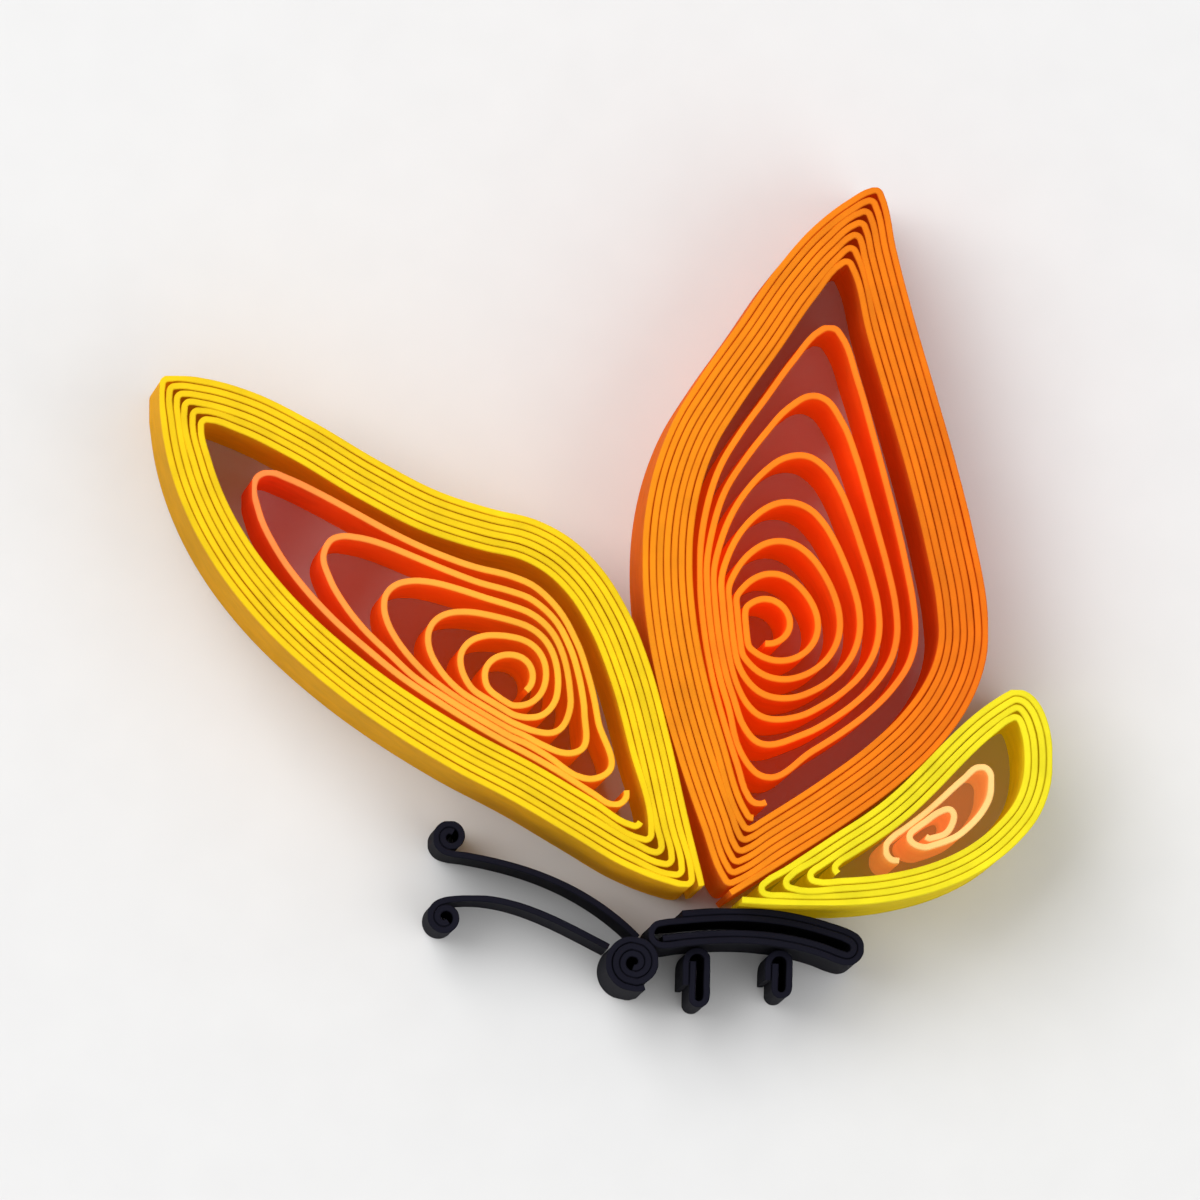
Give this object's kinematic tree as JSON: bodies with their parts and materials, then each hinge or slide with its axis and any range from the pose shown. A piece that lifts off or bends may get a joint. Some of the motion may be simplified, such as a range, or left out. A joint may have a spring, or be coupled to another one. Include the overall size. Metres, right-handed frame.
{
  "type": "quilled paper butterfly",
  "caption": "Flat quilled paper butterfly ornament: pinched off-centre coils in tight-wound rims as wings, small rolls as head, body and legs, curled strips as antennae.",
  "frame": {"origin": "on the underside, below the middle of the bounding box", "axes": "+X right across the wings towards the tail, +Y up from the body towards the wing tips, +Z out of the front, along the width of the strips"},
  "size_m": [0.016, 0.0146, 0.003],
  "materials": {
    "yellow_paper": "matt",
    "coral_paper": "matt",
    "orange_paper": "matt",
    "red_orange_paper": "matt",
    "lemon_paper": "matt",
    "peach_paper": "matt",
    "black_paper": "matt"
  },
  "bodies": {
    "root": {"far_wing_rim": "yellow_paper", "far_wing_coil": "coral_paper", "near_wing_rim": "orange_paper", "near_wing_coil": "red_orange_paper", "hind_wing_rim": "lemon_paper", "hind_wing_coil": "peach_paper", "head": "black_paper", "body": "black_paper", "front_leg": "black_paper", "rear_leg": "black_paper", "upper_antenna": "black_paper", "lower_antenna": "black_paper"}
  },
  "joints": []
}
